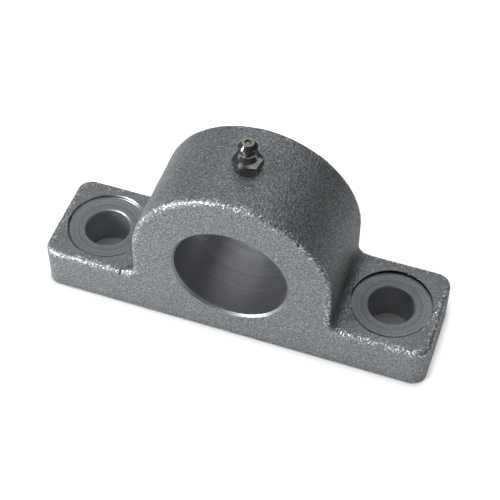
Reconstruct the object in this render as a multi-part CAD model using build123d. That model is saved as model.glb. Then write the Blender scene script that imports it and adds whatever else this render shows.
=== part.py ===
from build123d import *
import math
import os

# Pedestal bearing housing with its grease nipple, in millimetres.
# X runs along the base, Y along the shaft and Z up from the underside of the base.
# The origin is on the underside, straight below the middle of the bore.

# Sizes of the casting
base_length = 139.5
width = 37.0
foot_height = 17.0
bore_centre_height = 31.0
arch_wall = 15.5
plan_corner_radius = 5.5
foot_fillet_radius = 4.0
cast_edge_radius = 1.8

# Sizes of the machined surfaces
bore_diameter = 40.0
bore_chamfer = 1.0
bolt_spacing = 104.5
bolt_hole_diameter = 16.0
bolt_hole_chamfer = 0.4
spotface_diameter = 28.0
spotface_depth = 1.5
tapped_depth = 8.5
tapped_mouth_chamfer = 0.5
thread_clearance = 0.02
drill_point_half_angle = 59.0
oil_passage_diameter = 4.0

# Sizes of the grease nipple, from the underside of its hexagon up and down
thread_diameter = 8.0
thread_length = 5.5
thread_tip_chamfer = 0.5
runout_length = 1.2
runout_depth = 0.55
nipple_standoff = 0.8
hexagon_flats = 9.0
hexagon_height = 3.0
hexagon_turn = 19.0
hexagon_chamfer_angle = 30.0
cone_base_diameter = 7.4
cone_height = 2.65
neck_diameter = 4.8
neck_length = 1.85
undercut_height = 0.8
head_diameter = 6.5
head_land = 0.85
nose_height = 1.35
head_flat_diameter = 4.3

# Sizes of the check valve inside the nipple
orifice_diameter = 2.0
orifice_length = 0.6
valve_seat_half_angle = 30.0
chamber_diameter = 2.9
rolled_lip_opening = 1.5
rolled_lip_thickness = 0.5
ball_diameter = 2.5
ball_seat_clearance = 0.02
spring_wire = 0.3
spring_wall_clearance = 0.12
spring_coils = 7
spring_wire_sides = 6
spring_ball_clearance = 0.03
spring_lip_clearance = 0.02

# Places worked out from the sizes
bore_radius = bore_diameter / 2
arch_radius = bore_radius + arch_wall
crown_height = bore_centre_height + arch_radius
front = -width / 2
nipple_base = crown_height + nipple_standoff
cone_start = nipple_base + hexagon_height
neck_start = cone_start + cone_height
undercut_start = neck_start + neck_length
land_start = undercut_start + undercut_height
nose_start = land_start + head_land
nipple_top = nose_start + nose_height
thread_tip = nipple_base - thread_length
chamber_floor = thread_tip + rolled_lip_thickness
orifice_floor = nipple_top - orifice_length
ball_radius = ball_diameter / 2

# Length by which a cutting tool runs past the surface that it enters
overrun = 1.0


def rod(radius, low, high, x=0.0):
    """Upright cylinder on the nipple's axis, or beside it at x, between two heights."""
    return Pos(x, 0, (low + high) / 2) * Cylinder(radius, high - low)


def cone(radius_low, radius_high, low, high, x=0.0):
    """Upright cone between two heights."""
    return Pos(x, 0, (low + high) / 2) * Cone(radius_low, radius_high, high - low)


def casting_profile():
    """Front view of the casting: two feet and a round arch with straight sides."""
    feet = Pos(0, foot_height / 2) * Rectangle(base_length, foot_height)
    column = Pos(0, bore_centre_height / 2) * Rectangle(2 * arch_radius, bore_centre_height)
    arch = Pos(0, bore_centre_height) * Circle(arch_radius)
    trimmed_arch = arch & (Pos(0, bore_centre_height + arch_radius) * Rectangle(4 * arch_radius, 2 * arch_radius))
    outline = feet + column + trimmed_arch
    inner_corners = [
        corner
        for corner in outline.vertices()
        if abs(abs(corner.X) - arch_radius) < 0.01 and abs(corner.Y - foot_height) < 0.01
    ]
    return fillet(inner_corners, foot_fillet_radius)


def rim_edges(casting):
    """Edges round the top of the feet and along both faces of the arch."""
    edges = []
    for edge in casting.edges():
        box = edge.bounding_box()
        above_base = box.min.Z > foot_height / 2
        across_the_top = box.size.Y > width / 2 and max(abs(box.min.X), abs(box.max.X)) < base_length / 2 - 0.01
        if above_base and not across_the_top:
            edges.append(edge)
    return edges


def raw_casting():
    """The casting as it leaves the mould, with rounded corners and rims."""
    casting = extrude(Plane.XZ * casting_profile(), width / 2, both=True)
    upright_corners = [
        edge
        for edge in casting.edges().filter_by(Axis.Z)
        if abs(edge.center().X) > base_length / 2 - 0.01
    ]
    casting = fillet(upright_corners, plan_corner_radius)
    return fillet(rim_edges(casting), cast_edge_radius)


def bore_cutter():
    """The shaft's bore, opened by a chamfer at each face."""
    straight = Cylinder(bore_radius, width + 2 * overrun)
    mouth_radius = bore_radius + bore_chamfer
    mouth = Pos(0, 0, (width - bore_chamfer) / 2) * Cone(bore_radius, mouth_radius, bore_chamfer)
    cutter = straight + mouth + mirror(mouth, about=Plane.XY)
    return Pos(0, 0, bore_centre_height) * Rot(X=90) * cutter


def bolt_seat_cutter(x):
    """A bolt hole and the flat round seat that is milled round its mouth."""
    seat_height = foot_height - spotface_depth
    hole_radius = bolt_hole_diameter / 2
    hole = rod(hole_radius, -overrun, seat_height + overrun, x)
    mouth = cone(hole_radius, hole_radius + bolt_hole_chamfer, seat_height - bolt_hole_chamfer, seat_height, x)
    seat = rod(spotface_diameter / 2, seat_height, crown_height, x)
    return hole + mouth + seat


def nipple_hole_cutter():
    """The tapped hole in the crown, and the drilled passage from it down to the bore."""
    thread_radius = thread_diameter / 2 + thread_clearance
    passage_radius = oil_passage_diameter / 2
    hole_floor = crown_height - tapped_depth
    point_depth = (thread_radius - passage_radius) / math.tan(math.radians(drill_point_half_angle))
    hole = rod(thread_radius, hole_floor, crown_height + overrun)
    point = cone(passage_radius, thread_radius, hole_floor - point_depth, hole_floor)
    passage = rod(passage_radius, bore_centre_height, hole_floor)
    mouth_low = crown_height - tapped_mouth_chamfer
    mouth_high = crown_height + overrun
    mouth = cone(thread_radius, thread_radius + mouth_high - mouth_low, mouth_low, mouth_high)
    return hole + point + passage + mouth


def make_housing():
    """The finished housing: the casting with its bore, bolt seats and nipple hole."""
    housing = raw_casting() - bore_cutter() - nipple_hole_cutter()
    for side in (-1, 1):
        housing -= bolt_seat_cutter(side * bolt_spacing / 2)
    return housing


def hexagon():
    """The nipple's spanner hexagon, its upper corners turned off at an angle."""
    corner_radius = hexagon_flats / 2 / math.cos(math.radians(30))
    prism = extrude(Rot(Z=hexagon_turn) * RegularPolygon(corner_radius, 6, rotation=0), hexagon_height)
    corner_drop = (corner_radius - hexagon_flats / 2) * math.tan(math.radians(hexagon_chamfer_angle))
    envelope = cone(corner_radius, hexagon_flats / 2, hexagon_height - corner_drop, hexagon_height)
    envelope += rod(corner_radius, 0, hexagon_height - corner_drop)
    return Pos(0, 0, nipple_base) * (prism & envelope)


def turned_profile():
    """Half section of the nipple outside its hexagon, from the thread's tip to the top."""
    thread_radius = thread_diameter / 2
    runout_radius = thread_radius - runout_depth
    return [
        (0, thread_tip),
        (thread_radius - thread_tip_chamfer, thread_tip),
        (thread_radius, thread_tip + thread_tip_chamfer),
        (thread_radius, nipple_base - runout_length),
        (runout_radius, nipple_base - runout_length + runout_depth),
        (runout_radius, nipple_base),
        (runout_radius, cone_start - hexagon_height / 2),
        (cone_base_diameter / 2, cone_start - hexagon_height / 2),
        (cone_base_diameter / 2, cone_start),
        (neck_diameter / 2, neck_start),
        (neck_diameter / 2, undercut_start),
        (head_diameter / 2, land_start),
        (head_diameter / 2, nose_start),
        (head_flat_diameter / 2, nipple_top),
        (0, nipple_top),
    ]


def valve_chamber():
    """The drilled inside of the nipple: rolled lip, spring chamber, ball seat, orifice."""
    orifice_radius = orifice_diameter / 2
    chamber_radius = chamber_diameter / 2
    seat_height = (chamber_radius - orifice_radius) / math.tan(math.radians(valve_seat_half_angle))
    return [
        (0, thread_tip - overrun),
        (rolled_lip_opening / 2, thread_tip - overrun),
        (rolled_lip_opening / 2, chamber_floor),
        (chamber_radius, chamber_floor),
        (chamber_radius, orifice_floor - seat_height),
        (orifice_radius, orifice_floor),
        (orifice_radius, nipple_top + overrun),
        (0, nipple_top + overrun),
    ]


def turn(points):
    """Solid of revolution about the nipple's axis from a half section in radius and height."""
    section = make_face(Plane.XZ * Polyline(*points, close=True))
    return revolve(section, axis=Axis.Z)


def make_nipple_body():
    """The nipple's body: turned outside, hexagon, and hollow chamber."""
    return turn(turned_profile()) + hexagon() - turn(valve_chamber())


def ball_centre():
    """Height of the ball's centre when it is closed against its conical seat."""
    seat_angle = math.radians(valve_seat_half_angle)
    contact_radius = ball_radius * math.cos(seat_angle)
    contact_height = orifice_floor - (contact_radius - orifice_diameter / 2) / math.tan(seat_angle)
    return contact_height - ball_radius * math.sin(seat_angle) - ball_seat_clearance


def make_check_ball():
    """The ball that closes the orifice."""
    return Pos(0, 0, ball_centre()) * Sphere(ball_radius)


def make_spring():
    """The coil spring between the rolled lip and the ball, its lower end ground flat."""
    wire_radius = spring_wire / 2
    coil_radius = chamber_diameter / 2 - spring_wall_clearance - wire_radius
    reach = ball_radius + wire_radius + spring_ball_clearance
    coil_top = ball_centre() - math.sqrt(reach**2 - coil_radius**2)
    coil_bottom = chamber_floor + spring_lip_clearance
    height = coil_top - coil_bottom
    path = Helix(height / spring_coils, height, coil_radius, center=(0, 0, coil_bottom))
    section = RegularPolygon(wire_radius, spring_wire_sides)
    wire = sweep(Plane(origin=path @ 0, z_dir=path % 0) * section, path=path)
    return wire & rod(chamber_diameter, coil_bottom, nipple_top)


def write_parts():
    """Build every piece and write one file for each."""
    os.makedirs("parts", exist_ok=True)
    pieces = {
        "housing": make_housing(),
        "grease_nipple_body": make_nipple_body(),
        "nipple_check_ball": make_check_ball(),
        "nipple_spring": make_spring(),
    }
    for name, piece in pieces.items():
        export_step(piece, f"parts/{name}.step")


write_parts()
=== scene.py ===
import math

import bmesh
import bpy
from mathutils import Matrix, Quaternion, Vector


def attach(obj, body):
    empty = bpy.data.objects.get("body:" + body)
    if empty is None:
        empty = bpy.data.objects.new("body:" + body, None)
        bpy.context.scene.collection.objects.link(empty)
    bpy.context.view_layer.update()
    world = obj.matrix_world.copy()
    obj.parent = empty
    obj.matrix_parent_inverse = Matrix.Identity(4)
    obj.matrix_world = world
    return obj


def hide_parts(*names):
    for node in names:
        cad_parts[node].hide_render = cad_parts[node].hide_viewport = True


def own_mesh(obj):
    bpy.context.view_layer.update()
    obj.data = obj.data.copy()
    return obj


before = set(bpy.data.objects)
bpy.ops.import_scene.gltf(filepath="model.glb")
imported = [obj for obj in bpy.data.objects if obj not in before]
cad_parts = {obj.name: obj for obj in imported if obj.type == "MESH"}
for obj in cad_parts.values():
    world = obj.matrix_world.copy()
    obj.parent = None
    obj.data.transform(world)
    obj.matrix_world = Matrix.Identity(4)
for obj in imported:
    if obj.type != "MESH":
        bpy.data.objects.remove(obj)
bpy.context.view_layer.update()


# The view and the studio.
# The camera stands in front of the housing, a little to its right and well above it.
# The housing stands on a white table in a room that is darker to the right, lit by a tall
# soft window low on the left, a softbox above it and a wide dim ceiling light behind.
bpy.ops.object.select_all(action="DESELECT")
bpy.ops.object.camera_add(location=(0.095163, -0.283401, 0.393838))
camera = bpy.context.object
camera.name = "camera"
camera.data.lens = 99.67
camera.data.sensor_width = 36.0
camera.data.clip_start = 0.01
camera.rotation_mode = "QUATERNION"
camera_aim = Vector((0.001259, -0.000471, 0.025))
camera_roll = Quaternion((0, 0, 1), math.radians(0.75))
camera.rotation_quaternion = (camera_aim - camera.location).to_track_quat("-Z", "Y") @ camera_roll
bpy.context.scene.camera = camera
bpy.context.scene.view_settings.view_transform = "Standard"


def add_node(tree, kind, values=None, **settings):
    """Add a node, with its settings and the values of its unlinked inputs."""
    made = tree.nodes.new(kind)
    for name, value in settings.items():
        setattr(made, name, value)
    for name, value in (values or {}).items():
        made.inputs[name].default_value = value
    return made


def new_material(name):
    """A material with its shader, as its node tree and that shader."""
    material = bpy.data.materials.new(name)
    material.use_nodes = True
    return material, material.node_tree, material.node_tree.nodes["Principled BSDF"]


bpy.ops.mesh.primitive_plane_add(size=0.44, location=(0, 0, -0.00002))
table_top = bpy.context.object
table_top.name = "table_top"
bpy.ops.object.transform_apply(location=True, rotation=False, scale=False)
table_white, tree, shader = new_material("table_white")
# The table is white to the camera, darker in a soft shadow that follows the base's outline
# and is narrower past its ends, and dimmer where steel mirrors it.
mirrored_share = 0.3
base_half_length, base_half_width, base_corner = 0.0697, 0.0185, 0.0055
shadow_reach, shadow_start = 0.0070, 0.0015
end_start, end_length, end_loss = 0.0047, 0.0100, 0.016
shader.inputs["Roughness"].default_value = 0.9
shader.inputs["Specular IOR Level"].default_value = 0.0
shader.inputs["Emission Color"].default_value = (1, 1, 1, 1)
seen = add_node(tree, "ShaderNodeLightPath")
mirrored = add_node(tree, "ShaderNodeMath", {1: mirrored_share}, operation="MULTIPLY")
seen_or_mirrored = add_node(tree, "ShaderNodeMath", operation="ADD")
place = add_node(tree, "ShaderNodeTexCoord")
off_middle = add_node(tree, "ShaderNodeVectorMath", operation="ABSOLUTE")
inner_base = (base_half_length - base_corner, base_half_width - base_corner, 1)
off_base = add_node(tree, "ShaderNodeVectorMath", {1: inner_base}, operation="SUBTRACT")
outside = add_node(tree, "ShaderNodeVectorMath", {1: (0, 0, 0)}, operation="MAXIMUM")
gap = add_node(tree, "ShaderNodeVectorMath", operation="LENGTH")
ends = add_node(tree, "ShaderNodeSeparateXYZ")
past_end = add_node(
    tree, "ShaderNodeMapRange", {"From Min": end_start, "From Max": end_start + end_length, "To Max": end_loss}
)
from_base = add_node(tree, "ShaderNodeMath", operation="ADD")
reach = add_node(tree, "ShaderNodeMapRange", {"From Min": base_corner, "From Max": base_corner + shadow_reach})
glow = add_node(tree, "ShaderNodeValToRGB")
glow.color_ramp.elements[0].color = (0, 0, 0, 1)
glow.color_ramp.elements[1].color = (0.80, 0.80, 0.80, 1)
glow.color_ramp.elements.new(0.04).color = (0.30, 0.30, 0.30, 1)
glow.color_ramp.elements.new(0.45).color = (0.55, 0.55, 0.55, 1)
# The paper's own colour is darker under the base and just past its edge: painted shade, seen through the bolt holes.
paper_shade = add_node(
    tree,
    "ShaderNodeMapRange",
    {"From Min": base_corner, "From Max": base_corner + shadow_start, "To Min": 0.62, "To Max": 0.80},
)
strength = add_node(tree, "ShaderNodeMath", operation="MULTIPLY")
tree.links.new(seen.outputs["Is Glossy Ray"], mirrored.inputs[0])
tree.links.new(seen.outputs["Is Camera Ray"], seen_or_mirrored.inputs[0])
tree.links.new(mirrored.outputs[0], seen_or_mirrored.inputs[1])
tree.links.new(place.outputs["Object"], off_middle.inputs[0])
tree.links.new(off_middle.outputs[0], off_base.inputs[0])
tree.links.new(off_base.outputs[0], outside.inputs[0])
tree.links.new(outside.outputs[0], gap.inputs[0])
tree.links.new(outside.outputs[0], ends.inputs[0])
tree.links.new(ends.outputs["X"], past_end.inputs["Value"])
tree.links.new(past_end.outputs["Result"], from_base.inputs[0])
tree.links.new(gap.outputs["Value"], from_base.inputs[1])
tree.links.new(from_base.outputs[0], reach.inputs["Value"])
tree.links.new(gap.outputs["Value"], paper_shade.inputs["Value"])
tree.links.new(paper_shade.outputs["Result"], shader.inputs["Base Color"])
tree.links.new(reach.outputs["Result"], glow.inputs["Fac"])
tree.links.new(glow.outputs["Color"], strength.inputs[0])
tree.links.new(seen_or_mirrored.outputs[0], strength.inputs[1])
tree.links.new(strength.outputs[0], shader.inputs["Emission Strength"])
table_top.data.materials.append(table_white)

world = bpy.data.worlds.new("studio")
bpy.context.scene.world = world
world.use_nodes = True
tree = world.node_tree
background = tree.nodes["Background"]
seen = add_node(tree, "ShaderNodeLightPath")
brightness = add_node(tree, "ShaderNodeMapRange", {"To Max": 1.0})
direction = add_node(tree, "ShaderNodeTexCoord")
across = add_node(tree, "ShaderNodeSeparateXYZ")
room = add_node(tree, "ShaderNodeMapRange", {"From Min": -1.0, "From Max": 1.0, "To Min": 0.25, "To Max": 0.07})
tree.links.new(direction.outputs["Generated"], across.inputs[0])
tree.links.new(across.outputs["X"], room.inputs["Value"])
tree.links.new(room.outputs["Result"], brightness.inputs["To Min"])
tree.links.new(seen.outputs["Is Camera Ray"], brightness.inputs["Value"])
tree.links.new(brightness.outputs["Result"], background.inputs["Strength"])
background.inputs["Color"].default_value = (0.96, 0.98, 1.0, 1)


def add_lamp(name, azimuth, elevation, distance, width, height, power):
    """A soft rectangular lamp that faces the housing, placed by its direction in degrees."""
    turn, lift = math.radians(azimuth), math.radians(elevation)
    flat = math.cos(lift)
    place = Vector((math.sin(turn) * flat, -math.cos(turn) * flat, math.sin(lift))) * distance
    bpy.ops.object.light_add(type="AREA", location=place)
    lamp = bpy.context.object
    lamp.name = name
    lamp.rotation_mode = "QUATERNION"
    lamp.rotation_quaternion = (-place).to_track_quat("-Z", "Y")
    lamp.data.shape = "RECTANGLE"
    lamp.data.size = width
    lamp.data.size_y = height
    lamp.data.energy = power


add_lamp("left_window", -46, 21, 0.7, 0.14, 0.27, 4.4)
add_lamp("front_softbox", -46, 50, 1.4, 1.00, 0.50, 4.0)
add_lamp("ceiling", 180, 64, 1.4, 1.8, 1.5, 7)


# Surface effects of the casting and of the machined faces.
# Each is one node group: the grain that shot blasting leaves, the points on the casting's
# rounded rims that are worn glossy and carry a painted highlight, and the fine lines of a
# turning or milling tool.


def new_group(name, inputs, outputs):
    """A shader node group with number, vector or colour sockets."""
    kinds = {"F": "NodeSocketFloat", "V": "NodeSocketVector", "C": "NodeSocketColor"}
    group = bpy.data.node_groups.new(name, "ShaderNodeTree")
    for socket, kind in inputs.items():
        group.interface.new_socket(socket, in_out="INPUT", socket_type=kinds[kind])
    for socket, kind in outputs.items():
        group.interface.new_socket(socket, in_out="OUTPUT", socket_type=kinds[kind])
    return group, group.nodes.new("NodeGroupInput"), group.nodes.new("NodeGroupOutput")


def use_group(tree, group, values):
    """Place a group in a material with that material's own values."""
    placed = tree.nodes.new("ShaderNodeGroup")
    placed.node_tree = group
    for name, value in values.items():
        placed.inputs[name].default_value = value
    return placed


blasted_grain, into, out = new_group(
    "blasted_grain", {"Grain Size": "F", "Patch Size": "F"}, {"Height": "F", "Speck": "F", "Patch": "F"}
)
place = add_node(blasted_grain, "ShaderNodeTexCoord")
grain_scale = add_node(blasted_grain, "ShaderNodeMath", {0: 1.0}, operation="DIVIDE")
patch_scale = add_node(blasted_grain, "ShaderNodeMath", {0: 1.0}, operation="DIVIDE")
grain = add_node(blasted_grain, "ShaderNodeTexNoise", {"Detail": 3.0, "Roughness": 0.6})
pits = add_node(blasted_grain, "ShaderNodeTexVoronoi", feature="SMOOTH_F1")
patches = add_node(blasted_grain, "ShaderNodeTexNoise", {"Detail": 4.0, "Roughness": 0.55})
height = add_node(blasted_grain, "ShaderNodeMath", {2: 0.35}, operation="MULTIPLY_ADD")
blasted_grain.links.new(into.outputs["Grain Size"], grain_scale.inputs[1])
blasted_grain.links.new(into.outputs["Patch Size"], patch_scale.inputs[1])
for texture, scale in ((grain, grain_scale), (pits, grain_scale), (patches, patch_scale)):
    blasted_grain.links.new(place.outputs["Object"], texture.inputs["Vector"])
    blasted_grain.links.new(scale.outputs[0], texture.inputs["Scale"])
blasted_grain.links.new(pits.outputs["Distance"], height.inputs[0])
blasted_grain.links.new(grain.outputs["Fac"], height.inputs[1])
blasted_grain.links.new(height.outputs[0], out.inputs["Height"])
blasted_grain.links.new(grain.outputs["Fac"], out.inputs["Speck"])
blasted_grain.links.new(patches.outputs["Fac"], out.inputs["Patch"])

worn_and_painted_glints, into, out = new_group("worn_and_painted_glints", {"Rim": "F", "Glint Size": "F"}, {"Mask": "F"})
place = add_node(worn_and_painted_glints, "ShaderNodeTexCoord")
glint_scale = add_node(worn_and_painted_glints, "ShaderNodeMath", {0: 1.0}, operation="DIVIDE")
facets = add_node(worn_and_painted_glints, "ShaderNodeTexVoronoi", {"Randomness": 1.0})
facet_value = add_node(worn_and_painted_glints, "ShaderNodeSeparateColor")
clusters = add_node(worn_and_painted_glints, "ShaderNodeTexNoise", {"Scale": 420.0, "Detail": 2.0})
chance = add_node(worn_and_painted_glints, "ShaderNodeMath", operation="MULTIPLY_ADD")
picked = add_node(worn_and_painted_glints, "ShaderNodeMapRange", {"From Min": 0.92, "From Max": 1.10})
worn_and_painted_glints.links.new(into.outputs["Glint Size"], glint_scale.inputs[1])
worn_and_painted_glints.links.new(place.outputs["Object"], facets.inputs["Vector"])
worn_and_painted_glints.links.new(place.outputs["Object"], clusters.inputs["Vector"])
worn_and_painted_glints.links.new(glint_scale.outputs[0], facets.inputs["Scale"])
worn_and_painted_glints.links.new(facets.outputs["Color"], facet_value.inputs[0])
worn_and_painted_glints.links.new(clusters.outputs["Fac"], chance.inputs[0])
worn_and_painted_glints.links.new(into.outputs["Rim"], chance.inputs[1])
worn_and_painted_glints.links.new(facet_value.outputs[0], chance.inputs[2])
worn_and_painted_glints.links.new(chance.outputs[0], picked.inputs["Value"])
worn_and_painted_glints.links.new(picked.outputs["Result"], out.inputs["Mask"])

tool_lines, into, out = new_group("tool_lines", {"Feed": "F", "Line Width": "F"}, {"Height": "F", "Tone": "F"})
line_scale = add_node(tool_lines, "ShaderNodeMath", operation="DIVIDE")
lines = add_node(tool_lines, "ShaderNodeTexNoise", {"Scale": 1.0, "Detail": 2.0}, noise_dimensions="1D")
bands = add_node(tool_lines, "ShaderNodeTexNoise", {"Scale": 0.12, "Detail": 2.0}, noise_dimensions="1D")
tool_lines.links.new(into.outputs["Feed"], line_scale.inputs[0])
tool_lines.links.new(into.outputs["Line Width"], line_scale.inputs[1])
tool_lines.links.new(line_scale.outputs[0], lines.inputs["W"])
tool_lines.links.new(line_scale.outputs[0], bands.inputs["W"])
tool_lines.links.new(lines.outputs["Fac"], out.inputs["Height"])
tool_lines.links.new(bands.outputs["Fac"], out.inputs["Tone"])


# The housing's casting: one piece of cast steel, poured in a sand mould and shot blasted.
# Its two feet run flush into a round arch, every edge that the mould gave is rounded,
# and the skin is left rough.
base_length, width, foot_height = 0.1395, 0.037, 0.017
bore_height, arch_radius = 0.031, 0.0355
foot_fillet, plan_corner, rim_radius = 0.004, 0.0055, 0.0018
machining_stock = 0.0015
near = 0.00001


def select_only(piece):
    """Select one piece, make it the active one and deselect everything else."""
    bpy.ops.object.select_all(action="DESELECT")
    piece.select_set(True)
    bpy.context.view_layer.objects.active = piece


def apply_modifier(piece, kind, **settings):
    """Put a modifier on a piece and make its result the mesh."""
    modifier = piece.modifiers.new(kind.lower(), kind)
    for name, value in settings.items():
        setattr(modifier, name, value)
    select_only(piece)
    bpy.ops.object.modifier_apply(modifier=modifier.name)


def pick(kind, test):
    """In edit mode, select only the vertices, edges or faces that pass a test."""
    bpy.ops.mesh.select_mode(type=kind)
    bpy.ops.mesh.select_all(action="DESELECT")
    mesh = bmesh.from_edit_mesh(bpy.context.object.data)
    for element in {"VERT": mesh.verts, "EDGE": mesh.edges, "FACE": mesh.faces}[kind]:
        if test(element):
            element.select_set(True)
    mesh.select_flush_mode()
    bmesh.update_edit_mesh(bpy.context.object.data)


def is_at(value, target):
    """Whether a coordinate lies at a place, apart from rounding."""
    return abs(value - target) < near


def foot_corner(edge):
    """The inner corner between a foot's top and the arch's side."""
    return all(is_at(abs(v.co.x), arch_radius) and is_at(v.co.z, foot_height) for v in edge.verts)


def plan_edge(edge):
    """An upright edge at a corner of the base."""
    ends = [v.co for v in edge.verts]
    return all(is_at(abs(p.x), base_length / 2) and is_at(abs(p.y), width / 2) for p in ends) and not is_at(
        ends[0].z, ends[1].z
    )


def rim_edge(edge):
    """An edge round the top of the casting: along a face of the arch or round a foot's end."""
    ends = [v.co for v in edge.verts]
    along_face = all(p.z > foot_height - near and is_at(abs(p.y), width / 2) for p in ends)
    along_face = along_face and is_at(ends[0].y, ends[1].y)
    round_end = all(is_at(p.z, foot_height) and abs(p.x) > base_length / 2 - plan_corner - near for p in ends)
    return along_face or round_end


bpy.ops.object.select_all(action="DESELECT")
bpy.ops.mesh.primitive_cylinder_add(
    vertices=144, radius=arch_radius, depth=width, location=(0, 0, bore_height), rotation=(math.pi / 2, 0, 0)
)
casting = bpy.context.object
casting.name = "bearing_housing"
bpy.ops.object.transform_apply(location=True, rotation=True, scale=True)
bpy.ops.object.mode_set(mode="EDIT")
bpy.ops.mesh.select_all(action="SELECT")
bpy.ops.mesh.bisect(plane_co=(0, 0, bore_height), plane_no=(0, 0, 1), clear_inner=True)
pick("EDGE", lambda edge: edge.is_boundary)
for drop in (bore_height - foot_height, foot_height + machining_stock):
    bpy.ops.mesh.extrude_region_move(TRANSFORM_OT_translate={"value": (0, 0, -drop)})
for side in (-1, 1):
    pick("FACE", lambda face: face.normal.x * side > 0.9 and face.calc_center_median().z < foot_height)
    reach = side * (base_length / 2 - arch_radius)
    bpy.ops.mesh.extrude_region_move(TRANSFORM_OT_translate={"value": (reach, 0, 0)})
pick("EDGE", lambda edge: edge.is_boundary)
bpy.ops.mesh.edge_face_add()
bpy.ops.mesh.select_all(action="SELECT")
bpy.ops.mesh.remove_doubles(threshold=near)
bpy.ops.mesh.normals_make_consistent(inside=False)
bpy.ops.mesh.dissolve_limited(angle_limit=math.radians(0.5))
pick("EDGE", foot_corner)
bpy.ops.mesh.bevel(offset=foot_fillet, segments=10, affect="EDGES")
pick("EDGE", plan_edge)
bpy.ops.mesh.bevel(offset=plan_corner, segments=10, affect="EDGES")
pick("EDGE", rim_edge)
bpy.ops.mesh.bevel(offset=rim_radius, segments=5, affect="EDGES", clamp_overlap=False)
bpy.ops.object.mode_set(mode="OBJECT")

# Where a little sand broke out of the mould, the casting has a small lump. Each row is a
# place and a radius.
sand_lumps = [
    (-0.0387, -0.0171, 0.0166, 0.0013),
    (-0.0373, -0.0172, 0.0175, 0.0009),
    (0.0224, -0.0172, 0.0574, 0.0011),
    (0.0244, -0.0172, 0.0558, 0.0009),
    (-0.0219, -0.0181, 0.0247, 0.0004),
]
lumps = []
for x, y, z, radius in sand_lumps:
    bpy.ops.mesh.primitive_ico_sphere_add(subdivisions=3, radius=radius, location=(x, y, z))
    lumps.append(bpy.context.object)
for piece in (*lumps, casting):
    piece.select_set(True)
bpy.context.view_layer.objects.active = casting
bpy.ops.object.join()

skin_voxel = 0.0006
apply_modifier(casting, "REMESH", mode="VOXEL", voxel_size=skin_voxel, adaptivity=0.0, use_smooth_shade=True)
for name, size, depth in (
    ("mould_waves", 0.007, 0.00020),
    ("sand_skin", 0.0015, 0.00010),
    ("grit", 0.0007, 0.00011),
):
    unevenness = bpy.data.textures.new(name, "CLOUDS")
    unevenness.noise_scale = size
    unevenness.noise_depth = 1
    apply_modifier(casting, "DISPLACE", texture=unevenness, texture_coords="LOCAL", mid_level=1.0, strength=depth)


def add_tint(tree, low, dark, high, light):
    """A ramp from a dark colour at one value to a light colour at another."""
    tint = add_node(tree, "ShaderNodeValToRGB")
    for element, position, colour in zip(tint.color_ramp.elements, (low, high), (dark, light)):
        element.position, element.color = position, (*colour, 1)
    return tint


cast_steel, tree, shader = new_material("cast_steel_blasted")
grain = use_group(tree, blasted_grain, {"Grain Size": 0.00065, "Patch Size": 0.012})
glints = use_group(tree, worn_and_painted_glints, {"Glint Size": 0.0005})
# The finished mesh carries two values: rim is 1 on the rounded rims, where the glints lie,
# and calm is 1 on the feet's flat tops, where the grain is weaker.
rim = add_node(tree, "ShaderNodeAttribute", attribute_name="rim")
calm = add_node(tree, "ShaderNodeAttribute", attribute_name="calm")
contrast = add_node(tree, "ShaderNodeMapRange", {"To Min": 1.0, "To Max": 0.5})
middle_tone = 0.43
from_middle = add_node(tree, "ShaderNodeMath", {1: middle_tone}, operation="SUBTRACT")
calmed = add_node(tree, "ShaderNodeMath", {2: middle_tone}, operation="MULTIPLY_ADD")
tint = add_tint(tree, 0.36, (0.140, 0.152, 0.161), 0.66, (0.400, 0.415, 0.427))
# On the glint mask the rims are worn glossier and lighter in colour; the lighter colour is a painted highlight.
bright = add_node(tree, "ShaderNodeMix", data_type="RGBA")
bright.inputs["B"].default_value = (0.72, 0.74, 0.75, 1)
shade = add_node(tree, "ShaderNodeMapRange", {"From Min": 0.3, "From Max": 0.7, "To Min": 0.58, "To Max": 0.40})
polish = add_node(tree, "ShaderNodeMath", {1: -0.16}, operation="MULTIPLY_ADD")
relief = add_node(tree, "ShaderNodeBump", {"Strength": 1.0, "Distance": 0.00045})
tree.links.new(rim.outputs["Fac"], glints.inputs["Rim"])
tree.links.new(calm.outputs["Fac"], contrast.inputs["Value"])
tree.links.new(grain.outputs["Speck"], from_middle.inputs[0])
tree.links.new(from_middle.outputs[0], calmed.inputs[0])
tree.links.new(contrast.outputs["Result"], calmed.inputs[1])
tree.links.new(calmed.outputs[0], tint.inputs["Fac"])
tree.links.new(contrast.outputs["Result"], relief.inputs["Strength"])
tree.links.new(glints.outputs["Mask"], bright.inputs["Factor"])
tree.links.new(tint.outputs["Color"], bright.inputs["A"])
tree.links.new(bright.outputs["Result"], shader.inputs["Base Color"])
tree.links.new(grain.outputs["Patch"], shade.inputs["Value"])
tree.links.new(glints.outputs["Mask"], polish.inputs[0])
tree.links.new(shade.outputs["Result"], polish.inputs[2])
tree.links.new(polish.outputs[0], shader.inputs["Roughness"])
tree.links.new(grain.outputs["Height"], relief.inputs["Height"])
tree.links.new(relief.outputs["Normal"], shader.inputs["Normal"])
shader.inputs["Metallic"].default_value = 0.8
casting.data.materials.clear()
casting.data.materials.append(cast_steel)


# The housing's machined surfaces, cut into the casting with sharp edges: the base milled
# flat, the bore bored through and chamfered at both faces, a round seat milled round each
# bolt hole, and the hole for the grease nipple drilled and tapped down into the bore.
bore_radius, bore_chamfer = 0.020, 0.001
bolt_x, bolt_hole_radius, hole_chamfer = 0.05225, 0.008, 0.0004
seat_radius, seat_height = 0.014, 0.0155
crown_height = bore_height + arch_radius


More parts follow.
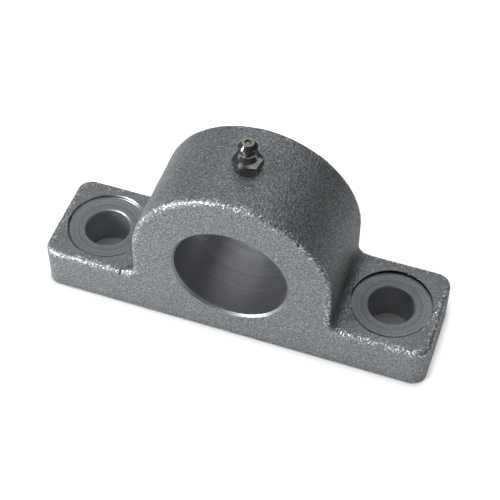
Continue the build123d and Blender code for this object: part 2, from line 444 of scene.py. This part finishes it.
def turned(name, rings, segments, x=0.0):
    """A turned solid on an upright axis: a cylinder whose end is drawn on ring by ring.

    Each ring is a height and a radius.
    """
    (low, first_radius), (high, second_radius) = rings[:2]
    bpy.ops.object.select_all(action="DESELECT")
    bpy.ops.mesh.primitive_cone_add(
        vertices=segments,
        radius1=first_radius,
        radius2=second_radius,
        depth=high - low,
        location=(x, 0, (low + high) / 2),
    )
    piece = bpy.context.object
    piece.name = name
    bpy.ops.object.transform_apply(location=True, rotation=True, scale=True)
    bpy.ops.object.mode_set(mode="EDIT")
    pick("FACE", lambda face: face.normal.z > 0.9 and len(face.verts) == segments)
    radius = second_radius
    for ring_height, ring_radius in rings[2:]:
        rise = ring_height - high
        bpy.ops.mesh.extrude_region_move(TRANSFORM_OT_translate={"value": (0, 0, rise)})
        growth = ring_radius / radius
        bpy.ops.transform.resize(value=(growth, growth, 1), center_override=(x, 0, ring_height))
        high, radius = ring_height, ring_radius
    bpy.ops.object.mode_set(mode="OBJECT")
    return piece


def cut(piece, cutter):
    """Cut a piece with another, which is used up and leaves its material on the cut faces."""
    apply_modifier(
        piece, "BOOLEAN", operation="DIFFERENCE", object=cutter, solver="EXACT", material_mode="TRANSFER"
    )
    bpy.data.objects.remove(cutter)


def join_with(piece, other):
    """Weld another solid to a piece."""
    apply_modifier(piece, "BOOLEAN", operation="UNION", object=other, solver="EXACT", material_mode="TRANSFER")
    bpy.data.objects.remove(other)


def machined(name, colour, roughness, lines_size, feed, mottle=0.28):
    """Bright cut steel with the tool's lines; feed says which way the tool went on."""
    material, tree, shader = new_material(name)
    place = add_node(tree, "ShaderNodeTexCoord")
    marks = use_group(tree, tool_lines, {"Line Width": lines_size})
    parts = add_node(tree, "ShaderNodeSeparateXYZ")
    tree.links.new(place.outputs["Object"], parts.inputs[0])
    if feed == "along the bore":
        tree.links.new(parts.outputs["Y"], marks.inputs["Feed"])
    elif feed == "straight over":
        tree.links.new(parts.outputs["X"], marks.inputs["Feed"])
    else:
        mirrored = add_node(tree, "ShaderNodeMath", operation="ABSOLUTE")
        offset = add_node(tree, "ShaderNodeMath", {1: bolt_x}, operation="SUBTRACT")
        flat = add_node(tree, "ShaderNodeCombineXYZ")
        radius = add_node(tree, "ShaderNodeVectorMath", operation="LENGTH")
        tree.links.new(parts.outputs["X"], mirrored.inputs[0])
        tree.links.new(mirrored.outputs[0], offset.inputs[0])
        tree.links.new(offset.outputs[0], flat.inputs["X"])
        tree.links.new(parts.outputs["Y"], flat.inputs["Y"])
        tree.links.new(flat.outputs[0], radius.inputs[0])
        tree.links.new(radius.outputs["Value"], marks.inputs["Feed"])
    grain = use_group(tree, blasted_grain, {"Grain Size": 0.0006, "Patch Size": 0.006})
    tone = add_tint(tree, 0.30, [channel * (1 - mottle) for channel in colour], 0.70, colour)
    blend = add_node(tree, "ShaderNodeMath", {1: 0.5}, operation="MULTIPLY_ADD")
    half = add_node(tree, "ShaderNodeMath", {1: 0.5}, operation="MULTIPLY")
    gloss = add_node(
        tree,
        "ShaderNodeMapRange",
        {"From Min": 0.3, "From Max": 0.7, "To Min": roughness + 0.07, "To Max": roughness},
    )
    relief = add_node(tree, "ShaderNodeBump", {"Strength": 0.25, "Distance": 0.00006})
    tree.links.new(grain.outputs["Speck"], half.inputs[0])
    tree.links.new(marks.outputs["Tone"], blend.inputs[0])
    tree.links.new(half.outputs[0], blend.inputs[2])
    tree.links.new(blend.outputs[0], tone.inputs["Fac"])
    tree.links.new(tone.outputs["Color"], shader.inputs["Base Color"])
    tree.links.new(grain.outputs["Patch"], gloss.inputs["Value"])
    tree.links.new(gloss.outputs["Result"], shader.inputs["Roughness"])
    tree.links.new(marks.outputs["Height"], relief.inputs["Height"])
    tree.links.new(relief.outputs["Normal"], shader.inputs["Normal"])
    shader.inputs["Metallic"].default_value = 1.0
    return material


bored_steel = machined("bored_steel", (0.345, 0.355, 0.375), 0.46, 0.00022, "along the bore")
drilled_steel = machined("drilled_steel", (0.48, 0.50, 0.525), 0.50, 0.0004, "round the hole")
milled_seat = machined("milled_seat_steel", (0.40, 0.415, 0.43), 0.55, 0.00035, "round the hole", 0.62)
# The two seat wall finishes are darker than cut steel is: painted shade, the right one nearly black.
left_wall_shade = machined("left_seat_wall_steel_painted_shade", (0.23, 0.235, 0.24), 0.50, 0.0002, "round the hole")
right_wall_shade = machined("right_seat_wall_steel_painted_shade", (0.06, 0.062, 0.065), 0.55, 0.0002, "round the hole")
torn_and_highlit_edge = machined("torn_edge_steel_painted_highlight", (0.50, 0.51, 0.52), 0.28, 0.0002, "round the hole")
milled_base = machined("milled_base_steel", (0.42, 0.43, 0.44), 0.34, 0.0005, "straight over")

# The base is milled first, so that everything else is measured from it.
select_only(casting)
casting.data.materials.append(milled_base)
bpy.ops.object.mode_set(mode="EDIT")
bpy.ops.mesh.select_all(action="SELECT")
bpy.ops.mesh.bisect(plane_co=(0, 0, 0), plane_no=(0, 0, 1), clear_inner=True, use_fill=True)
casting.active_material_index = 1
bpy.ops.object.material_slot_assign()
bpy.ops.object.mode_set(mode="OBJECT")

straight_half = width / 2 - bore_chamfer
bore_cutter = turned(
    "bore_cutter",
    [
        (-width / 2 - bore_chamfer, bore_radius + 2 * bore_chamfer),
        (-straight_half, bore_radius),
        (straight_half, bore_radius),
        (width / 2 + bore_chamfer, bore_radius + 2 * bore_chamfer),
    ],
    192,
)
bore_cutter.rotation_euler = (math.pi / 2, 0, 0)
bore_cutter.location = (0, 0, bore_height)
bpy.ops.object.transform_apply(location=True, rotation=True, scale=True)
bore_cutter.data.materials.append(bored_steel)
cut(casting, bore_cutter)


def finish_faces(piece, finish, test):
    """In edit mode, give one of the piece's finishes to the faces that pass a test."""
    pick("FACE", test)
    piece.active_material_index = piece.data.materials.find(finish.name)
    bpy.ops.object.material_slot_assign()


# The left seat's edge is broken and its corner worn, the right one's are crisp. A shallow
# groove runs in the skin on the near side of each; its dark faces are a painted shadow line.
# Each row is a side, its walls' painted shade, the break, the tool's corner, and the radius
# and lean of the groove.
groove_low, skin_height, groove_high = 0.0166, 0.0168, 0.0172
groove_end = -0.0065
corner_steps = 4
for side, seat_wall, edge_break, tool_nose, groove_radius, lean in (
    (-1, left_wall_shade, 0.0005, 0.0005, 0.0142, 0.00045),
    (1, right_wall_shade, 0.0001, 0.0001, 0.01395, 0.00065),
):
    seat_rings = [
        (-0.001, bolt_hole_radius),
        (seat_height - hole_chamfer, bolt_hole_radius),
        (seat_height, bolt_hole_radius + hole_chamfer),
    ]
    for step in range(corner_steps + 1):
        turn = math.radians(90 * step / corner_steps)
        seat_rings.append(
            (seat_height + tool_nose * (1 - math.cos(turn)), seat_radius - tool_nose * (1 - math.sin(turn)))
        )
    seat_rings += [
        (foot_height - edge_break, seat_radius),
        (foot_height + edge_break, seat_radius + 2 * edge_break),
        (bore_height, seat_radius + 2 * edge_break),
    ]
    seat_cutter = turned("seat_cutter", seat_rings, 128, side * bolt_x)
    for finish in (milled_seat, drilled_steel, seat_wall, torn_and_highlit_edge):
        seat_cutter.data.materials.append(finish)
    bpy.ops.object.mode_set(mode="EDIT")
    finish_faces(seat_cutter, drilled_steel, lambda face: face.calc_center_median().z < seat_height - near)
    finish_faces(
        seat_cutter,
        seat_wall,
        lambda face: abs(face.normal.z) < 0.95 and face.calc_center_median().z > seat_height,
    )
    # On the left seat the far side of the broken edge takes the torn edge finish; its lighter colour there is a
    # painted highlight on the side that faces the lamps.
    if side < 0:
        finish_faces(
            seat_cutter,
            torn_and_highlit_edge,
            lambda face: 0.3 < abs(face.normal.z) < 0.95
            and face.calc_center_median().z > seat_height
            and face.calc_center_median().y > 0,
        )
    bpy.ops.object.mode_set(mode="OBJECT")
    cut(casting, seat_cutter)
    # A shallow groove cut in the skin on the near side of the seat; its dark faces are a painted shadow line.
    groove_rings = [
        (groove_low, groove_radius - 0.00055),
        (skin_height, groove_radius),
        (groove_high, groove_radius + 0.0011),
    ]
    shadow_groove_cutter = turned("shadow_groove_cutter", groove_rings, 128, side * bolt_x)
    shadow_groove_cutter.location = (0, -lean, 0)
    bpy.ops.object.transform_apply(location=True, rotation=True, scale=True)
    bpy.ops.object.mode_set(mode="EDIT")
    bpy.ops.mesh.select_all(action="SELECT")
    bpy.ops.mesh.bisect(plane_co=(0, groove_end, 0), plane_no=(0, 1, 0), clear_outer=True, use_fill=True)
    bpy.ops.object.mode_set(mode="OBJECT")
    shadow_groove_cutter.data.materials.append(seat_wall)
    cut(casting, shadow_groove_cutter)

tapped_radius, passage_radius, tapped_depth, mouth_chamfer = 0.00402, 0.002, 0.0085, 0.0005
drill_point = (tapped_radius - passage_radius) / math.tan(math.radians(59))
nipple_cutter = turned(
    "nipple_cutter",
    [
        (bore_height, passage_radius),
        (crown_height - tapped_depth - drill_point, passage_radius),
        (crown_height - tapped_depth, tapped_radius),
        (crown_height - mouth_chamfer, tapped_radius),
        (crown_height + mouth_chamfer, tapped_radius + 2 * mouth_chamfer),
    ],
    96,
)
nipple_cutter.data.materials.append(bored_steel)
cut(casting, nipple_cutter)

# Small faults in the skin: a slit beside the arch on the left foot, a pit in the arch's
# rim and a mark in the bore. Nicks with bright torn edges lie round the right seat and its
# bolt hole, where the tool broke out; their brightness is partly a painted highlight. Each
# row is a place and three half sizes.
faults = {
    cast_steel: [
        (-0.0402, -0.0182, 0.0167, 0.0005, 0.0014, 0.0017),
        (0.0235, -0.0182, 0.0567, 0.0008, 0.0007, 0.0008),
        (0.0079, -0.0068, 0.0126, 0.0006, 0.0003, 0.0003),
    ],
    torn_and_highlit_edge: [
        (0.0670, 0.0006, 0.0169, 0.0009, 0.0007, 0.0005),
        (0.0668, -0.0012, 0.0169, 0.0005, 0.0008, 0.0004),
        (0.0659, -0.0044, 0.0167, 0.0006, 0.0009, 0.0004),
        (0.0544, 0.0140, 0.0169, 0.0008, 0.0004, 0.0005),
        (0.0583, 0.0130, 0.0169, 0.0011, 0.0004, 0.0004),
        (0.0497, 0.0078, 0.01563, 0.0004, 0.0004, 0.0005),
        (0.0462, 0.0056, 0.01562, 0.0004, 0.0003, 0.0005),
        (0.0530, 0.0082, 0.01561, 0.0003, 0.0004, 0.0005),
    ],
}
chips = []
for finish, places in faults.items():
    for x, y, z, half_x, half_y, half_z in places:
        bpy.ops.mesh.primitive_ico_sphere_add(
            subdivisions=2, radius=1.0, location=(x, y, z), scale=(half_x, half_y, half_z)
        )
        bpy.ops.object.transform_apply(location=True, rotation=True, scale=True)
        bpy.context.object.data.materials.append(finish)
        chips.append(bpy.context.object)
for chip in chips:
    chip.select_set(True)
bpy.ops.object.join()
cut(casting, bpy.context.object)
select_only(casting)
bpy.ops.object.shade_smooth_by_angle(angle=math.radians(38))


def rim_nearness(point):
    """How near a point of the skin is to the middle of a rounded rim, from 0 to 1."""
    x, y, z = abs(point.x), abs(point.y), point.z
    corner_x, corner_y = base_length / 2 - plan_corner, width / 2 - plan_corner
    if x > corner_x and y > corner_y:
        to_side = plan_corner - math.hypot(x - corner_x, y - corner_y)
    else:
        to_side = min(width / 2 - y, base_length / 2 - x)
    if z > bore_height:
        to_skin = arch_radius - math.hypot(x, z - bore_height)
    elif z > foot_height + foot_fillet:
        to_skin = arch_radius - x
    elif x > arch_radius + foot_fillet:
        to_skin = foot_height - z
    else:
        to_skin = math.hypot(x - arch_radius - foot_fillet, z - foot_height - foot_fillet) - foot_fillet
    share = 1 - math.hypot(max(to_side, 0), max(to_skin, 0)) / (1.5 * rim_radius)
    return min(max(share, 0), 1)


def foot_top_share(point):
    """How far in on the smoother top of a foot a point lies, from 0 to 1."""
    x, y = abs(point.x), abs(point.y)
    if point.z < seat_height or x < arch_radius + foot_fillet:
        return 0
    to_side = min(width / 2 - y, base_length / 2 - x)
    return min(max(to_side / rim_radius - 1, 0), 1)


for name, share in (("rim", rim_nearness), ("calm", foot_top_share)):
    values = casting.data.attributes.new(name, "FLOAT", "POINT")
    values.data.foreach_set("value", [share(vertex.co) for vertex in casting.data.vertices])
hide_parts("housing")
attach(casting, "housing")


# The grease nipple's body: one bar of steel, turned, its hexagon and thread cut, drilled
# hollow from below for the valve, then zinc plated. It is screwed into the crown with its
# hexagon just clear of the casting.
nipple_base = crown_height + 0.0008
nipple_top = nipple_base + 0.0105
thread_tip = nipple_base - 0.0055
thread_radius, thread_pitch, thread_height = 0.004, 0.001, 0.00061
tip_chamfer, runout_length, runout_depth = 0.0005, 0.0012, 0.00055
runout_radius = thread_radius - runout_depth
hexagon_flats, hexagon_height, hexagon_turn = 0.009, 0.003, math.radians(19)
cone_start = nipple_base + hexagon_height
neck_start = cone_start + 0.00265
shoulder_top, shoulder_radius = cone_start + 0.00045, 0.0034
undercut_start = neck_start + 0.00185
land_start = undercut_start + 0.0008
nose_start = land_start + 0.00085
neck_radius, head_radius, head_flat_radius = 0.0024, 0.00325, 0.00215
neck_fillet, undercut_fillet = 0.0028, 0.0008


def waist(low, low_radius, middle, middle_radius, high, high_radius, fillet):
    """Rings that round an inner corner of the turned outline with a fillet."""
    corner = Vector((middle_radius, middle))
    down = (Vector((low_radius, low)) - corner).normalized()
    up = (Vector((high_radius, high)) - corner).normalized()
    half_angle = down.angle(up) / 2
    centre = corner + (down + up).normalized() * fillet / math.sin(half_angle)
    first = corner + down * fillet / math.tan(half_angle) - centre
    last = corner + up * fillet / math.tan(half_angle) - centre
    rings = []
    for step in range(7):
        spoke = first.lerp(last, step / 6).normalized() * fillet
        rings.append((centre.y + spoke.y, centre.x + spoke.x))
    return rings


thread_low, thread_high = thread_tip + tip_chamfer, nipple_base - runout_length
thread_steps = 31
rings = [(thread_tip, thread_radius - tip_chamfer), (thread_low, thread_radius)]
rings += [
    (thread_low + (thread_high - thread_low) * step / thread_steps, thread_radius) for step in range(1, thread_steps)
]
rings += [
    (thread_high, thread_radius),
    (thread_high + runout_depth, runout_radius),
    (cone_start - hexagon_height / 2, runout_radius),
    (cone_start - hexagon_height / 2, shoulder_radius),
    (shoulder_top, shoulder_radius),
    *waist(shoulder_top, shoulder_radius, neck_start, neck_radius, undercut_start, neck_radius, neck_fillet),
    *waist(neck_start, neck_radius, undercut_start, neck_radius, land_start, head_radius, undercut_fillet),
    (land_start, head_radius),
    (nose_start, head_radius),
    (nipple_top, head_flat_radius),
]
nipple = turned("grease_nipple", rings, 96)
apply_modifier(nipple, "BEVEL", width=0.00012, segments=3, limit_method="ANGLE", angle_limit=math.radians(20))

# The thread is a V groove that winds up the shank and fades out at both ends.
fade_length, half_groove = 0.0004, 0.44
for vertex in nipple.data.vertices:
    radius = math.hypot(vertex.co.x, vertex.co.y)
    if thread_low - near < vertex.co.z < thread_high + near and radius > thread_radius - 0.0002:
        turn = math.atan2(vertex.co.y, vertex.co.x) / (2 * math.pi)
        phase = (vertex.co.z / thread_pitch - turn) % 1.0
        fade = min(1.0, (vertex.co.z - thread_low) / fade_length, (thread_high - vertex.co.z) / fade_length)
        groove = thread_height * max(0.0, 1.0 - abs(phase - 0.5) / half_groove) * max(0.0, fade)
        vertex.co.x *= (radius - groove) / radius
        vertex.co.y *= (radius - groove) / radius

# The hexagon's corners are turned off by a cone that goes on into the shallow shoulder. It
# is a hair higher than the shoulder, so that no faces of the two coincide.
hexagon_corner = hexagon_flats / 2 / math.cos(math.radians(30))
hair, lap = 0.00003, 0.0008
hexagon = turned("hexagon", [(nipple_base, hexagon_corner), (shoulder_top + 0.0005, hexagon_corner)], 6)
hexagon.rotation_euler = (0, 0, hexagon_turn + math.radians(30))
bpy.ops.object.transform_apply(location=True, rotation=True, scale=True)
shoulder_slope = (shoulder_top - cone_start) / (hexagon_flats / 2 - shoulder_radius)
chamfer_turning = turned(
    "chamfer_turning",
    [
        (nipple_base - 0.001, hexagon_corner),
        (cone_start - shoulder_slope * (hexagon_corner - hexagon_flats / 2) + hair, hexagon_corner),
        (shoulder_top + shoulder_slope * lap + hair, shoulder_radius - lap),
    ],
    144,
)
apply_modifier(hexagon, "BOOLEAN", operation="INTERSECT", object=chamfer_turning, solver="EXACT")
bpy.data.objects.remove(chamfer_turning)
join_with(nipple, hexagon)

orifice_radius, chamber_radius, lip_radius = 0.001, 0.00145, 0.00075
lip_top = thread_tip + 0.0005
orifice_floor = nipple_top - 0.0006
seat_cone = (chamber_radius - orifice_radius) / math.tan(math.radians(30))
chamber = turned(
    "chamber",
    [
        (thread_tip - 0.001, lip_radius),
        (lip_top, lip_radius),
        (lip_top, chamber_radius),
        (orifice_floor - seat_cone, chamber_radius),
        (orifice_floor, orifice_radius),
        (nipple_top - 0.0001, orifice_radius),
        (nipple_top + 0.0002, orifice_radius + 0.0003),
    ],
    96,
)
cut(nipple, chamber)
select_only(nipple)
bpy.ops.object.shade_smooth_by_angle(angle=math.radians(25))


def smooth_metal(name, grain_size, patch_size, dark, light, roughness):
    """Smooth metal with faint patches of tone.

    Its grain takes the roughness from one value to another.
    """
    material, tree, shader = new_material(name)
    grain = use_group(tree, blasted_grain, {"Grain Size": grain_size, "Patch Size": patch_size})
    tint = add_tint(tree, 0.35, dark, 0.65, light)
    gloss = add_node(
        tree,
        "ShaderNodeMapRange",
        {"From Min": 0.3, "From Max": 0.7, "To Min": roughness[0], "To Max": roughness[1]},
    )
    tree.links.new(grain.outputs["Patch"], tint.inputs["Fac"])
    tree.links.new(tint.outputs["Color"], shader.inputs["Base Color"])
    tree.links.new(grain.outputs["Speck"], gloss.inputs["Value"])
    tree.links.new(gloss.outputs["Result"], shader.inputs["Roughness"])
    shader.inputs["Metallic"].default_value = 1.0
    return material


zinc_plate = smooth_metal(
    "zinc_plated_steel", 0.0002, 0.002, (0.200, 0.200, 0.188), (0.272, 0.271, 0.262), (0.12, 0.06)
)
tree = zinc_plate.node_tree
shader = tree.nodes["Principled BSDF"]
relief = add_node(tree, "ShaderNodeBump", {"Strength": 0.4, "Distance": 0.00002})
place = add_node(tree, "ShaderNodeTexCoord")
parts = add_node(tree, "ShaderNodeSeparateXYZ")
marks = use_group(tree, tool_lines, {"Line Width": 0.00012})
tree.links.new(place.outputs["Object"], parts.inputs[0])
tree.links.new(parts.outputs["Z"], marks.inputs["Feed"])
tree.links.new(marks.outputs["Height"], relief.inputs["Height"])
tree.links.new(relief.outputs["Normal"], shader.inputs["Normal"])
nipple.data.materials.clear()
nipple.data.materials.append(zinc_plate)
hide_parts("grease_nipple_body")
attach(nipple, "housing")


# The check ball: a hardened bearing ball that the spring holds up against its conical
# seat. Grease pushed in from above moves it down.
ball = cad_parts["nipple_check_ball"]
ball_steel = smooth_metal(
    "hardened_ball_steel", 0.0001, 0.0012, (0.26, 0.258, 0.25), (0.36, 0.357, 0.35), (0.30, 0.38)
)
for material_slot in ball.material_slots:
    material_slot.material = ball_steel


# The valve spring: hard drawn round wire, coiled with its last turn at each end laid
# flat, standing on the rolled lip inside the nipple and pushing the ball up.
spring_low, spring_high = 0.06247, 0.075604
coil_radius, wire_radius = 0.00118, 0.00015
coil_turns = 9
bpy.ops.object.select_all(action="DESELECT")
bpy.ops.mesh.primitive_circle_add(
    vertices=12, radius=wire_radius, location=(coil_radius, 0, 0), rotation=(math.pi / 2, 0, 0)
)
spring = bpy.context.object
spring.name = "valve_spring"
bpy.ops.object.transform_apply(location=True, rotation=True, scale=True)
even_pitch = (spring_high - spring_low) / coil_turns
apply_modifier(
    spring,
    "SCREW",
    axis="Z",
    angle=2 * math.pi,
    screw_offset=even_pitch,
    iterations=coil_turns,
    steps=32,
    render_steps=32,
)
bpy.ops.object.mode_set(mode="EDIT")
bpy.ops.mesh.select_all(action="SELECT")
bpy.ops.mesh.remove_doubles(threshold=0.000001)
pick("EDGE", lambda edge: edge.is_boundary)
bpy.ops.mesh.edge_face_add()
bpy.ops.mesh.select_all(action="SELECT")
bpy.ops.mesh.normals_make_consistent(inside=False)
bpy.ops.object.mode_set(mode="OBJECT")
bpy.ops.object.shade_smooth_by_angle(angle=math.radians(50))

# The even coil is spread: its two end turns lie almost flat, and the rest open out between.
flat_rise = 2.1 * wire_radius
open_rise = (spring_high - spring_low - 2 * flat_rise) / (coil_turns - 2)
for vertex in spring.data.vertices:
    part_turn = math.atan2(vertex.co.y, vertex.co.x) / (2 * math.pi)
    turn = part_turn + round(vertex.co.z / even_pitch - part_turn)
    off_wire = vertex.co.z - turn * even_pitch
    rise = flat_rise * min(turn, 1) + open_rise * min(max(turn - 1, 0), coil_turns - 2)
    rise += flat_rise * max(turn - coil_turns + 1, 0)
    vertex.co.z = spring_low + rise + off_wire

drawn_wire = smooth_metal(
    "drawn_spring_wire", 0.00012, 0.0015, (0.34, 0.335, 0.33), (0.47, 0.465, 0.46), (0.32, 0.24)
)
spring.data.materials.append(drawn_wire)
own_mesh(spring)
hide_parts("nipple_spring")
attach(spring, "housing")
